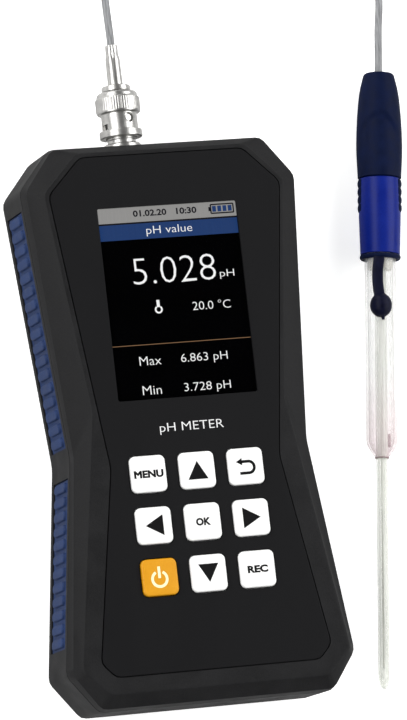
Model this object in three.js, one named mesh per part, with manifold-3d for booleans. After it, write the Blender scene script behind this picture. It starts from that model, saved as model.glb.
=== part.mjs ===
// Hand-held pH meter with a glass pH electrode on a short cable. Millimetres, +Z up.
// The meter lies on its back: X runs across it, +Y runs along it towards the sockets, and Z = 0 is
// its rear rest face, with the origin at the middle of that face.
import Module from 'manifold-3d';
import * as THREE from 'three';
import { mergeVertices } from 'three/addons/utils/BufferGeometryUtils.js';

const wasm = await Module();
wasm.setup();

// ---------------------------------------------------------------- driving dimensions

const WALL = 2.2; // housing wall
const GAP = 0.3; // clearance between pieces that are cut by, or move past, each other

// Heights above the rest face.
const Z = {
  backEdge: 4.9, // the rear chamfer ends and the straight side band starts
  parting: 25, // joint between the rear and the front shell
  rim: 28.7, // top of the front shell's upright rim
  face: 31.5, // outer edge of the front face
  plateau: 31.85, // flat border around the overlay
  overlay: 32, // front of the overlay
  key: 32.85, // top of a key
};

// Half outlines of the hourglass housing: top corner, shoulder, waist, hip, bottom corner.
const OVERLAY = [[24.8, 78.3], [35.1, 67.8], [25.5, -12.9], [34.7, -68.8], [30.8, -73.1]];
const FACE = [[25.9, 79.9], [36.9, 68.6], [29.5, 3.9], [40.8, -70.8], [33.0, -78.4]];
const RIM = [[32.0, 81.8], [41.0, 70.0], [35.5, -8.4], [42.7, -71.3], [35.2, -81.9]];
const BAND = [[32.2, 82.4], [42.0, 70.6], [35.7, -8.5], [43.8, -71.1], [35.2, -82.4]];
const CORNER_RUN = 1.6; // length of edge that a corner's rounding takes up

const SCREWS = { upper: [31, 66], lower: [34, -67], boss: 3.8, hole: 1.75, seat: 14 };

const SCREEN = { y: 34.7, width: 42.4, height: 56.8 };
const KEYS = { pitchX: 14.8, pitchY: 15.05, topRow: -15.4, size: 10.7, radius: 1.7 };
const KEY_NAMES = [
  ['key_menu', 'key_up', 'key_back'],
  ['key_left', 'key_ok', 'key_right'],
  ['key_power', 'key_down', 'key_record'],
];

// Rubber inlays in each side, placed by their distance from the shoulder or the waist.
const GRIP = { height: 15.6, middle: 15, floor: -0.55, root: -1.35, top: 0.4, pitch: 4.12 };
const GRIP_UPPER = { from: 1, to: 2, start: 5.6, bumps: 17 };
const GRIP_LOWER = { from: 2, to: 3, start: 5.4, bumps: 12 };
const BUMP = { width: 2.7, length: 11.6 };

const TOP_FACE = BAND[0][1]; // outer face of the top wall, where the sockets sit
const BNC = { x: -6.7, z: 16, lugY: 9.2, lugTurn: 18, quarter: 90, backOff: 2.6, lugHalf: 1.25 };
const PROBE_SOCKET = { x: 13, z: 15 };
const USB = { x: -23, width: 8.9, height: 3.3, depth: 6.5, top: 24.7 };

const CABLE_RADIUS = 1.15;

// The electrode lies beside the meter; its own frame has +Y towards the cable and 0 at the cap's end.
const ELECTRODE = { x: 78.65, y: 102.7, z: 7, lean: -6.45, frontTurn: -17 };
const STATION = {
  spigot: 20, cap: 32.3, glass: 49, sleeve: 55.6, ring: 57.1,
  taper: 111.8, seal: 116.6, stem: 180.7, tip: 186.1,
};
const GLASS = { radius: 4.7, wall: 0.8, stem: 1.75, stemWall: 0.55 };
const STOPPER = { station: 71.65, radius: 3.3, hole: 1.75, pin: 1.4, strapWidth: 3.3, strapThick: 0.9 };
const SIDE_GRIP = { start: 0.4, length: 9.9, width: 5.8, inner: 5.6, valley: 6.3, crest: 6.65, ribs: 4 };

// ---------------------------------------------------------------- materials

const material = (color, roughness, metalness = 0) =>
  new THREE.MeshStandardMaterial({ color, roughness, metalness });
const HOUSING = material(0x2b2b2c, 0.6);
const OVERLAY_FILM = material(0x202021, 0.4);
const RUBBER_BLUE = material(0x324a80, 0.75);
const KEY_WHITE = material(0xf4f4f2, 0.45);
const KEY_ORANGE = material(0xeca92a, 0.45);
const CLEAR = material(0xdde4e2, 0.05);
const SCREEN_BLACK = material(0x0a0a0c, 0.2);
const BOARD = material(0x1d5b3a, 0.5);
const SILICONE = material(0xb9bcbf, 0.8);
const BATTERY_WRAP = material(0x2f5f9a, 0.4);
const NICKEL = material(0xc9c9c6, 0.2, 1);
const STEEL = material(0x8f9193, 0.35, 1);
const GOLD = material(0xd6a94a, 0.3, 1);
const WHITE_PLASTIC = material(0xeeeeea, 0.5);
const BLACK_PLASTIC = material(0x161617, 0.5);
const LABEL = material(0xb4b6b8, 0.4, 0.6);
const CABLE_GREY = material(0x8b8c8d, 0.55);
const RUBBER_NAVY = material(0x111c3a, 0.65);
const SLEEVE_BLUE = material(0x15257f, 0.35);
const GLASS_CLEAR = material(0xe6ebe2, 0.05);
const CERAMIC = material(0x4a3436, 0.7);

// ---------------------------------------------------------------- mesh helpers

// One closed mesh of shared vertices whose faces point out.
function closed(source) {
  const bare = source.clone();
  bare.deleteAttribute('normal');
  bare.deleteAttribute('uv');
  const merged = mergeVertices(bare, 1e-4);
  const corner = [new THREE.Vector3(), new THREE.Vector3(), new THREE.Vector3()];
  const kept = [];
  let volume = 0;
  for (let i = 0; i < merged.index.count; i += 3) {
    const face = [0, 1, 2].map((k) => merged.index.getX(i + k));
    if (new Set(face).size < 3) continue;
    face.forEach((vertex, k) => corner[k].fromBufferAttribute(merged.attributes.position, vertex));
    volume += corner[0].dot(corner[1].cross(corner[2]));
    kept.push(...face);
  }
  if (volume < 0) kept.reverse();
  merged.setIndex(kept);
  return merged;
}

function toSolid(geometry) {
  const mesh = closed(geometry);
  const vertProperties = new Float32Array(mesh.attributes.position.array);
  const triVerts = new Uint32Array(mesh.index.array);
  return new wasm.Manifold(new wasm.Mesh({ numProp: 3, vertProperties, triVerts }));
}

function toGeometry(solid) {
  const mesh = solid.getMesh();
  const geometry = new THREE.BufferGeometry();
  geometry.setAttribute('position', new THREE.BufferAttribute(mesh.vertProperties, 3));
  geometry.setIndex(new THREE.BufferAttribute(mesh.triVerts, 1));
  return geometry;
}

const cut = (base, ...tools) =>
  toGeometry(tools.reduce((solid, tool) => solid.subtract(toSolid(tool)), toSolid(base)));
const join = (...shapes) =>
  toGeometry(shapes.slice(1).reduce((solid, shape) => solid.add(toSolid(shape)), toSolid(shapes[0])));

// Skins a stack of rings of equally many points and closes both ends.
function loft(rings, flatten = (p) => new THREE.Vector2(p.x, p.y)) {
  const size = rings[0].length;
  const positions = rings.flat().flatMap((p) => [p.x, p.y, p.z]);
  const index = [];
  for (let level = 0; level + 1 < rings.length; level += 1) {
    for (let i = 0; i < size; i += 1) {
      const a = level * size + i;
      const b = level * size + ((i + 1) % size);
      index.push(a, b, b + size, a, b + size, a + size);
    }
  }
  const last = (rings.length - 1) * size;
  const lid = (ring) => THREE.ShapeUtils.triangulateShape(ring.map(flatten), []);
  lid(rings[0]).forEach(([a, b, c]) => index.push(c, b, a));
  lid(rings.at(-1)).forEach(([a, b, c]) => index.push(last + a, last + b, last + c));
  const geometry = new THREE.BufferGeometry();
  geometry.setAttribute('position', new THREE.Float32BufferAttribute(positions, 3));
  geometry.setIndex(index);
  return geometry;
}

// A turned piece around Y from [radius, y] points; a bored one is a profile that closes on itself.
function turned(profile, segments = 24, bored = false) {
  const points = profile.map(([radius, y]) => new THREE.Vector2(radius, y));
  if (bored) points.push(points[0].clone());
  return new THREE.LatheGeometry(points, segments);
}

const box = (width, depth, height, x = 0, y = 0, z = 0) =>
  new THREE.BoxGeometry(width, depth, height).translate(x, y, z);
const rodY = (radius, from, to, segments = 16) =>
  new THREE.CylinderGeometry(radius, radius, to - from, segments).translate(0, (from + to) / 2, 0);
const rodZ = (radius, from, to, x, y, segments = 14) =>
  new THREE.CylinderGeometry(radius, radius, to - from, segments)
    .rotateX(Math.PI / 2)
    .translate(x, y, (from + to) / 2);
const tube = (inner, outer, from, to, segments = 16) =>
  turned([[inner, from], [outer, from], [outer, to], [inner, to]], segments, true);

// The points of a rectangle with rounded corners, anticlockwise, with `steps` chords to a corner.
function roundedRect(width, height, radius, steps = 3, x = 0, y = 0) {
  return [[1, 1], [-1, 1], [-1, -1], [1, -1]].flatMap(([right, up], quarter) =>
    Array.from({ length: steps + 1 }, (_, i) => {
      const angle = ((quarter + i / steps) * Math.PI) / 2;
      return new THREE.Vector2(
        x + right * (width / 2 - radius) + radius * Math.cos(angle),
        y + up * (height / 2 - radius) + radius * Math.sin(angle),
      );
    }));
}

const slab = (shape, from, to, curveSegments = 3) =>
  new THREE.ExtrudeGeometry(shape, { depth: to - from, bevelEnabled: false, curveSegments })
    .translate(0, 0, from);
const roundedBlock = (width, height, radius, from, to, x = 0, y = 0) =>
  slab(new THREE.Shape(roundedRect(width, height, radius, 2, x, y)), from, to);

// ---------------------------------------------------------------- housing outlines

// The ten corners, anticlockwise from the bottom right, each edge moved inwards by `inward`.
function corners(half, inward = 0) {
  const right = half.toReversed().map(([x, y]) => new THREE.Vector2(x, y));
  const left = half.map(([x, y]) => new THREE.Vector2(-x, y));
  const points = [...right, ...left];
  const count = points.length;
  const edges = points.map((point, i) => {
    const along = points[(i + 1) % count].clone().sub(point).normalize();
    const moved = new THREE.Vector2(-along.y, along.x).multiplyScalar(inward).add(point);
    return { along, moved };
  });
  return edges.map((edge, i) => {
    const before = edges[(i + count - 1) % count];
    const apart = edge.moved.clone().sub(before.moved);
    const run = apart.cross(edge.along) / before.along.cross(edge.along);
    return before.moved.clone().addScaledVector(before.along, run);
  });
}

// The same ten corners with each one rounded off.
function outline(half, inward = 0) {
  const sharp = corners(half, inward);
  return sharp.flatMap((corner, i) => {
    const towards = (other) => other.clone().sub(corner).setLength(CORNER_RUN).add(corner);
    const start = towards(sharp[(i + 9) % 10]);
    const end = towards(sharp[(i + 1) % 10]);
    return new THREE.QuadraticBezierCurve(start, corner, end).getPoints(2);
  });
}

const ringAt = (half, inward, z) => outline(half, inward).map((p) => new THREE.Vector3(p.x, p.y, z));
const stack = (levels) => loft(levels.map(([half, inward, z]) => ringAt(half, inward, z)));

// ---------------------------------------------------------------- housing shells

const screwPlaces = [SCREWS.upper, SCREWS.lower].flatMap(([x, y]) => [[x, y], [-x, y]]);

// A side's straight stretch between two outline corners as a frame: X down the side, Z outwards.
function sideFrame(side, strip) {
  const [from, to] = [BAND[strip.from], BAND[strip.to]].map(
    ([x, y]) => new THREE.Vector3(side * x, y, GRIP.middle),
  );
  const down = to.clone().sub(from).normalize();
  const outwards = new THREE.Vector3(-side * down.y, side * down.x, 0);
  const across = outwards.clone().cross(down);
  const length = strip.bumps * GRIP.pitch;
  const middle = from.clone().addScaledVector(down, strip.start + length / 2);
  return { matrix: new THREE.Matrix4().makeBasis(down, across, outwards).setPosition(middle), length };
}

function gripPocket(side, strip) {
  const { matrix, length } = sideFrame(side, strip);
  const depth = 4;
  const floor = GRIP.root - 0.15;
  return box(length + GAP, GRIP.height + GAP, depth, 0, 0, floor + depth / 2).applyMatrix4(matrix);
}

function grip(side, strip) {
  const { matrix, length } = sideFrame(side, strip);
  const base = box(length, GRIP.height, GRIP.floor - GRIP.root, 0, 0, (GRIP.floor + GRIP.root) / 2);
  const pill = new THREE.Shape();
  const straight = (BUMP.length - BUMP.width) / 2;
  pill.absarc(0, straight, BUMP.width / 2, 0, Math.PI);
  pill.absarc(0, -straight, BUMP.width / 2, Math.PI, 2 * Math.PI);
  const bumps = Array.from({ length: strip.bumps }, (_, i) => {
    const along = (i + 0.5) * GRIP.pitch - length / 2;
    return slab(pill, GRIP.floor - GAP, GRIP.top, 2).translate(along, 0, 0);
  });
  return join(base, ...bumps).applyMatrix4(matrix);
}

function rearShell() {
  const outside = stack([
    [BAND, 5, 0], [BAND, 4.2, 0.35], [BAND, 0.3, Z.backEdge - 0.5], [BAND, 0, Z.backEdge],
    [BAND, 0, Z.parting - 0.35], [BAND, 0.3, Z.parting - 0.1],
  ]);
  const inside = stack([[BAND, 6, WALL], [BAND, WALL, 6.6], [BAND, WALL, Z.parting + 1]]);
  const socketHoles = [
    rodY(5, -4, 1).translate(BNC.x, TOP_FACE, BNC.z),
    rodY(3.7, -4, 1).translate(PROBE_SOCKET.x, TOP_FACE, PROBE_SOCKET.z),
    box(USB.width + 2 * GAP, 6, 8, USB.x, TOP_FACE, USB.top - USB.height - GAP + 4),
  ];
  const pockets = [1, -1].flatMap((side) => [gripPocket(side, GRIP_UPPER), gripPocket(side, GRIP_LOWER)]);
  const shell = cut(outside, inside, ...pockets, ...socketHoles, roundedBlock(44, 26, 2, -1, 0.5, 0, 28));
  const bosses = screwPlaces.map(([x, y]) => rodZ(SCREWS.boss, 1, Z.parting - 0.1, x, y));
  const bores = screwPlaces.flatMap(([x, y]) => [
    rodZ(3.2, -1, SCREWS.seat, x, y),
    rodZ(SCREWS.hole, 0, Z.parting + 1, x, y),
  ]);
  return cut(join(shell, ...bosses), ...bores);
}

// Column and row of each key in turn.
function forEachKey(visit) {
  return KEY_NAMES.flatMap((row, r) =>
    row.map((name, c) => visit(name, (c - 1) * KEYS.pitchX, KEYS.topRow - r * KEYS.pitchY)));
}

const KEY_HOLE = KEYS.size + 2 * GAP;

function frontShell() {
  const wallUnder = 29.9; // inner side of the front wall
  const outside = stack([
    [BAND, 0.3, Z.parting + 0.1], [BAND, 0, Z.parting + 0.4], [RIM, 0, Z.rim],
    [FACE, 0, Z.face], [FACE, 0.25, Z.face + 0.25], [FACE, 0.6, Z.plateau],
  ]);
  const inside = stack([[BAND, WALL, Z.parting - 1], [RIM, WALL, Z.rim], [FACE, 1.6, wallUnder]]);
  const pocket = stack([[OVERLAY, -GAP, 31.05], [OVERLAY, -GAP, Z.overlay + 1]]);
  const screenHole = box(44, 58.4, 6, 0, SCREEN.y, 30);
  const keyHoles = forEachKey((_, x, y) => box(KEY_HOLE, KEY_HOLE, 5, x, y, 30.5));
  const shell = cut(outside, inside, pocket, screenHole, ...keyHoles);
  const bosses = screwPlaces.map(([x, y]) => rodZ(3.4, Z.parting + 0.3, wallUnder + 0.4, x, y));
  const bores = screwPlaces.map(([x, y]) => rodZ(SCREWS.hole - 0.15, Z.parting, 29.4, x, y));
  return cut(join(shell, ...bosses), ...bores);
}

function frontOverlay() {
  const shape = new THREE.Shape(outline(OVERLAY));
  const hole = (...rect) => shape.holes.push(new THREE.Path(roundedRect(...rect).reverse()));
  hole(SCREEN.width, SCREEN.height, 0.4, 1, 0, SCREEN.y);
  forEachKey((_, x, y) => hole(KEY_HOLE, KEY_HOLE, KEYS.radius + GAP, 3, x, y));
  return slab(shape, 31.1, Z.overlay);
}

function keyCap(x, y) {
  const flange = KEYS.size + 2.3;
  const level = (size, z) => roundedRect(size, size, KEYS.radius, 3, x, y)
    .map((p) => new THREE.Vector3(p.x, p.y, z));
  return loft([
    level(flange, 28.9), level(flange, 29.6), level(KEYS.size, 29.6), level(KEYS.size, Z.key - 0.4),
    level(KEYS.size - 0.25, Z.key - 0.12), level(KEYS.size - 0.8, Z.key),
  ]);
}

function keypadMat() {
  const sheet = roundedBlock(45, 46, 3, 27.2, 27.8, 0, KEYS.topRow - KEYS.pitchY);
  const domes = forEachKey((_, x, y) =>
    new THREE.CylinderGeometry(2.6, 3.8, 0.8, 8).rotateX(Math.PI / 2).translate(x, y, 27.9));
  return join(sheet, ...domes);
}

function lcdModule() {
  return join(
    box(50, 69, 2.4, 0, SCREEN.y, 28.5),
    box(43.4, 57.8, 2.5, 0, SCREEN.y, 29.75),
  );
}

function mainBoard() {
  const half = [[22, 79], [26.5, 74], [26.5, -68], [22, -72]];
  const points = [...half.toReversed(), ...half.map(([x, y]) => [-x, y])];
  const board = slab(new THREE.Shape(points.map(([x, y]) => new THREE.Vector2(x, y))), 25.4, 26.9);
  const chips = [[12, 12, 8, 40], [8, 8, -10, 20], [10, 6, 6, 5]];
  return join(board, ...chips.map(([w, d, x, y]) => box(w, d, 1.6, x, y, 25)));
}

function caseScrew(x, y) {
  const head = 2.4;
  const top = SCREWS.seat - 0.05;
  const body = join(
    rodZ(2.9, top - head, top, x, y),
    rodZ(1.4, top - 1, 28.8, x, y, 8),
  );
  const slot = (width, depth) => box(width, depth, 2.4, x, y, top - head);
  return cut(body, slot(3.4, 0.8), slot(0.8, 3.4));
}

// ---------------------------------------------------------------- sockets in the top wall

// Pieces around Y, with 0 at the outer face of the top wall.
function bncJack() {
  const body = turned([
    [2.4, -9], [4.7, -9], [4.7, 0.1], [5.6, 0.1], [5.6, 1.5], [5.2, 1.9], [4.15, 1.9], [4.15, 3],
    [4.3, 3.2], [4.3, 11.4], [4.1, 11.8], [3.75, 11.8], [3.75, 3.6], [2.4, 3.6],
  ], 24, true);
  const lug = (turn) => new THREE.CylinderGeometry(0.95, 0.95, 1, 10)
    .rotateX(Math.PI / 2)
    .translate(0, BNC.lugY, 4.3)
    .rotateY(THREE.MathUtils.degToRad(turn));
  return join(body, lug(BNC.lugTurn), lug(BNC.lugTurn + 180));
}

const bncJackNut = () =>
  cut(rodY(6.4, -5.6, -WALL - 0.15, 6), rodY(5, -7, 0));
const bncJackInsulator = () =>
  turned([[0.85, -9.5], [2.25, -9.5], [2.25, 8.6], [0.85, 8.6]], 14, true);
const bncJackContact = () =>
  turned([[0, -12], [0.7, -12], [0.7, 8.2], [0.45, 8.2], [0.45, 3], [0, 3]], 10);

const probeSocket = () =>
  turned([[0, -9], [3.4, -9], [3.4, 0.1], [4.6, 0.1], [4.6, 0.9], [1.8, 0.9], [1.8, -7], [0, -7]], 16);

function usbSocket() {
  const y = TOP_FACE - 0.4 - USB.depth / 2;
  const z = USB.top - USB.height / 2;
  const shell = cut(
    box(USB.width, USB.depth, USB.height, USB.x, y, z),
    box(USB.width - 0.8, USB.depth, USB.height - 0.8, USB.x, y + 0.6, z),
  );
  return join(shell, box(6.6, USB.depth - 1, 0.6, USB.x, y - 0.3, z));
}

// ---------------------------------------------------------------- bayonet plug

function plugBody() {
  return turned([
    [2.75, 5], [3.4, 5], [3.4, 12.4], [5, 12.4], [5, 13.9], [3.9, 13.9], [3.9, 17.7],
    [4.27, 17.8], [4.27, 19.2], [4, 19.4], [1.75, 19.4], [1.75, 24.8], [1.35, 24.8], [1.35, 19.3],
    [2.2, 18.7], [2.2, 12.3], [2.75, 11.9],
  ], 20, true);
}

const plugInsulator = () =>
  turned([[0.65, 12.2], [2, 12.2], [2, 17.9], [0.65, 17.9]], 12, true);
const plugPin = () => turned([[0, 4.6], [0.28, 5.2], [0.28, 11], [0.5, 11.4], [0.5, 17.3], [0, 17.3]], 8);
const crimpFerrule = () =>
  turned([
    [1.95, 19.7], [2.25, 19.7], [2.15, 27.6], [1.85, 28.8], [1.85, 31.7], [1.45, 31.7], [1.45, 29],
    [1.95, 27.4],
  ], 20, true);

// The ring's inner guide for one lug: a level-sided channel that climbs as it turns.
function helicalChannel(turn) {
  const [inner, outer, half] = [4.3, 5.05, BNC.lugHalf];
  const steps = 6;
  const rings = Array.from({ length: steps + 1 }, (_, i) => {
    const share = i / steps;
    const angle = THREE.MathUtils.degToRad(turn - share * BNC.quarter);
    const y = BNC.lugY - share * BNC.backOff;
    return [[inner, -half], [outer, -half], [outer, half], [inner, half]].map(
      ([radius, rise]) => new THREE.Vector3(radius * Math.sin(angle), y + rise, radius * Math.cos(angle)),
    );
  });
  return loft(rings, (p) => new THREE.Vector2(Math.hypot(p.x, p.z), p.y));
}

// Everything that lets one lug in: channel, through slot, entry under the flange and detent hole.
function lugPath(turn) {
  const radial = (geometry, angle) => geometry.rotateY(THREE.MathUtils.degToRad(angle));
  const entry = turn - BNC.quarter;
  const mouth = 3; // below the ring's lower edge
  const slotStart = 6.2; // where the entry leaves the flange and opens through the sleeve
  const end = BNC.lugY - BNC.backOff + BNC.lugHalf;
  const slot = (from, height, z) =>
    radial(box(2 * BNC.lugHalf, end - from, height, 0, (end + from) / 2, z), entry);
  return [
    helicalChannel(turn),
    slot(mouth, 1.4, 4.35),
    slot(slotStart, 3, 5.6),
    radial(new THREE.CylinderGeometry(1.5, 1.5, 3, 12).rotateX(Math.PI / 2)
      .translate(0, BNC.lugY, 5.6), turn),
  ];
}

function bayonetRing() {
  const blank = turned([
    [4.6, 3.7], [6.1, 3.7], [6.3, 3.9], [6.3, 5.8], [6.1, 6], [5.3, 6], [5.3, 11], [6.25, 11],
    [6.25, 15.7], [6.1, 15.9], [6, 16.8], [5.5, 17.4], [4.2, 17.4], [4.2, 14.2], [5.35, 14.2],
    [5.35, 12.1], [4.6, 12.1],
  ], 24, true);
  const teeth = 24;
  const knurlPoints = Array.from({ length: 2 * teeth }, (_, i) => {
    const angle = (i * Math.PI) / teeth;
    const radius = i % 2 ? 6.65 : 6.4;
    return new THREE.Vector2(radius * Math.cos(angle), radius * Math.sin(angle));
  });
  const shape = new THREE.Shape(knurlPoints);
  shape.holes.push(new THREE.Path().absarc(0, 0, 5.9, 0, 2 * Math.PI, true));
  const knurl = slab(shape, 0, 4, 6).rotateX(-Math.PI / 2).translate(0, 11.6, 0);
  return cut(join(blank, knurl), ...lugPath(BNC.lugTurn), ...lugPath(BNC.lugTurn + 180));
}

// ---------------------------------------------------------------- electrode

// Pieces around Y, with 0 at the cap's cable end and the tip at -STATION.tip.
function electrodeCap() {
  const flank = new THREE.SplineCurve([
    new THREE.Vector2(4.7, -0.9), new THREE.Vector2(5.8, -5.8), new THREE.Vector2(6.55, -13),
    new THREE.Vector2(6.92, -23), new THREE.Vector2(6.55, -STATION.cap + 0.2),
  ]).getPoints(7).map((p) => [p.x, p.y]);
  return turned([
    [1.45, 0], [3.3, 0], [4.2, -0.3], ...flank, [6.3, -STATION.cap], [4.2, -STATION.cap],
    [4.2, -9], [1.45, -8],
  ], 24, true);
}

function electrodeSleeve() {
  const shoulder = STATION.glass - 0.2; // inside face that the glass tube stops against
  const foot = STATION.sleeve - 0.1;
  const body = turned([
    [2.6, -STATION.spigot], [3.9, -STATION.spigot], [3.9, -STATION.cap - 0.1], [6, -STATION.cap - 0.1],
    [6.15, -STATION.cap - 0.3], [6.3, -STATION.cap - 11.5], [5.95, -foot], [4.95, -foot],
    [4.95, -shoulder], [2.6, -shoulder],
  ], 24, true);
  const middle = STATION.cap + SIDE_GRIP.start + SIDE_GRIP.length / 2;
  const floor = SIDE_GRIP.inner - 0.15;
  const pocket = (side) =>
    box(2, SIDE_GRIP.length + GAP, SIDE_GRIP.width + GAP, side * (floor + 1), -middle, 0);
  return cut(body, pocket(1), pocket(-1));
}

// A pad of ribs let into one side of the sleeve.
function sleeveGrip(side) {
  const { inner, valley, crest, length, ribs } = SIDE_GRIP;
  const shape = new THREE.Shape([new THREE.Vector2(inner, 0), new THREE.Vector2(inner, -length)]);
  for (let rib = ribs; rib > 0; rib -= 1) {
    const middle = (-length * (rib - 0.5)) / ribs;
    const half = length / ribs / 2;
    shape.lineTo(valley, middle - half);
    shape.lineTo(crest, middle - 0.55 * half);
    shape.lineTo(crest, middle + 0.55 * half);
  }
  shape.lineTo(valley, 0);
  return slab(shape, -SIDE_GRIP.width / 2, SIDE_GRIP.width / 2)
    .rotateY(side > 0 ? 0 : Math.PI)
    .translate(0, -STATION.cap - SIDE_GRIP.start, 0);
}

const collarRing = () =>
  turned([
    [4.95, -STATION.ring], [5.7, -STATION.ring], [6.15, -STATION.ring + 0.5],
    [6.15, -STATION.sleeve - 0.4], [5.9, -STATION.sleeve - 0.1], [4.95, -STATION.sleeve - 0.1],
  ], 24, true);

function glassBody() {
  const inner = GLASS.radius - GLASS.wall;
  const { glass, taper, seal } = STATION;
  const blank = turned([
    [inner, -glass], [GLASS.radius, -glass], [GLASS.radius, -taper], [4.4, -taper - 1.3],
    [3.6, -taper - 2.9], [2.2, -seal], [1.95, -seal], [1.95, -seal + 0.8], [3, -taper - 2.6],
    [inner, -taper - 0.3],
  ], 24, true);
  const fillHole = new THREE.CylinderGeometry(STOPPER.hole, STOPPER.hole, 4, 12)
    .rotateX(Math.PI / 2)
    .translate(0, -STOPPER.station, GLASS.radius)
    .rotateY(THREE.MathUtils.degToRad(ELECTRODE.frontTurn));
  return cut(blank, fillHole);
}

const innerStem = () =>
  tube(GLASS.stem - GLASS.stemWall, GLASS.stem, -STATION.stem, -STATION.glass + 3);
const phBulb = () => {
  const [outer, wall, top] = [GLASS.stem, 0.4, -STATION.stem - 0.05];
  const height = STATION.tip - STATION.stem;
  const dome = (radius, rise) => new THREE.EllipseCurve(0, top, radius, rise, 0, -Math.PI / 2, true)
    .getPoints(4).map((p) => [Math.abs(p.x) < 1e-6 ? 0 : p.x, p.y]);
  const inside = dome(outer - wall, height - wall).reverse();
  return turned([...dome(outer, height), ...inside], 16, true);
};
const silverWire = () => rodY(0.35, -STATION.tip + 6.3, -STATION.cap - 4, 10);
const sealRing = () => tube(1.85, 2.15, -STATION.seal - 0.45, -STATION.seal - 0.1);
const topSeal = () => tube(1.95, 3.7, -STATION.ring - 3, -STATION.glass - 0.5);
const junctionPin = () => rodY(0.45, -STATION.taper - 1.8, -STATION.taper + 2.2, 10).translate(2.35, 0, 0);

// Strap, domed stopper and its pin, moulded in one, over the refill hole.
function fillerStopper() {
  const clear = GLASS.radius + 0.3;
  const dome = new THREE.SphereGeometry(STOPPER.radius, 14, 8).scale(1, 1.06, 1)
    .translate(0, -STOPPER.station, clear + 0.4);
  const nub = new THREE.CylinderGeometry(0.45, 0.6, 1.2, 8)
    .translate(0.35, -STOPPER.station - STOPPER.radius - 0.4, clear + 0.6);
  const pin = new THREE.CylinderGeometry(STOPPER.pin, STOPPER.pin, 2.4, 14).rotateX(Math.PI / 2)
    .translate(0, -STOPPER.station, clear - 0.4);
  const hollow = rodY(clear, -STOPPER.station - 6, -STOPPER.station + 6, 24);
  const spine = new THREE.CatmullRomCurve3([
    new THREE.Vector3(-0.4, -STATION.ring - 0.55, clear + 0.5),
    new THREE.Vector3(-0.95, -STATION.ring - 4.5, clear + 0.6),
    new THREE.Vector3(-0.75, -STATION.ring - 9.5, clear + 0.8),
    new THREE.Vector3(0, -STOPPER.station + 1, clear + 1),
  ]);
  const [halfWidth, halfThick] = [STOPPER.strapWidth / 2, STOPPER.strapThick / 2];
  const section = [[-1, -1], [1, -1], [1, 1], [-1, 1]];
  const rings = spine.getPoints(6).map((p) => section.map(
    ([u, v]) => new THREE.Vector3(p.x + u * halfWidth, p.y, p.z + v * halfThick),
  ));
  const strap = loft(rings, (p) => new THREE.Vector2(p.x, p.z));
  return join(cut(dome, hollow), nub, pin, strap);
}

// ---------------------------------------------------------------- cable

// From inside the ferrule, round a flat loop on the table, into the electrode's cap.
function cable(electrodeMatrix) {
  const into = (s) => new THREE.Vector3(0, s, 0).applyMatrix4(electrodeMatrix);
  const path = new THREE.CatmullRomCurve3([
    new THREE.Vector3(BNC.x, TOP_FACE + 20, BNC.z),
    new THREE.Vector3(BNC.x, TOP_FACE + 34, BNC.z),
    new THREE.Vector3(BNC.x, TOP_FACE + 48, BNC.z - 0.6),
    new THREE.Vector3(-4.5, 146, 11.5),
    new THREE.Vector3(5, 165, 5.2),
    new THREE.Vector3(22, 177.5, 2),
    new THREE.Vector3(44, 179, 1.5),
    new THREE.Vector3(65, 169, 1.7),
    new THREE.Vector3(78.5, 150, 3),
    into(26),
    into(12),
    into(-6.5),
  ], false, 'centripetal');
  const section = new THREE.Shape().absarc(0, 0, CABLE_RADIUS, 0, 2 * Math.PI);
  return new THREE.ExtrudeGeometry(section, { extrudePath: path, steps: 48, curveSegments: 4 });
}

// ---------------------------------------------------------------- assembly

const meter = new THREE.Group();

function add(parent, name, geometry, finish) {
  const mesh = new THREE.Mesh(closed(geometry), finish);
  mesh.geometry.computeVertexNormals();
  mesh.name = name;
  parent.add(mesh);
}

function addHousing() {
  add(meter, 'rear_shell', rearShell(), HOUSING);
  add(meter, 'front_shell', frontShell(), HOUSING);
  [['right', 1], ['left', -1]].forEach(([word, side]) => {
    add(meter, `${word}_grip_upper`, grip(side, GRIP_UPPER), RUBBER_BLUE);
    add(meter, `${word}_grip_lower`, grip(side, GRIP_LOWER), RUBBER_BLUE);
  });
  screwPlaces.forEach(([x, y], i) => add(meter, `case_screw_${i + 1}`, caseScrew(x, y), STEEL));
  add(meter, 'rating_plate', roundedBlock(43.4, 25.4, 1.7, 0.1, 0.4, 0, 28), LABEL);
}

function addFront() {
  add(meter, 'front_overlay', frontOverlay(), OVERLAY_FILM);
  const pane = roundedBlock(SCREEN.width - 0.2, SCREEN.height - 0.2, 0.3, 31.15, Z.overlay, 0, SCREEN.y);
  add(meter, 'display_window', pane, CLEAR);
  forEachKey((name, x, y) =>
    add(meter, name, keyCap(x, y), name === 'key_power' ? KEY_ORANGE : KEY_WHITE));
}

function addInside() {
  add(meter, 'lcd_module', lcdModule(), SCREEN_BLACK);
  add(meter, 'keypad_mat', keypadMat(), SILICONE);
  add(meter, 'main_board', mainBoard(), BOARD);
  add(meter, 'battery_pack', roundedBlock(46, 62, 3, 2.6, 13.2, 0, -30), BATTERY_WRAP);
  add(meter, 'usb_socket', usbSocket(), STEEL);
}

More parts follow.
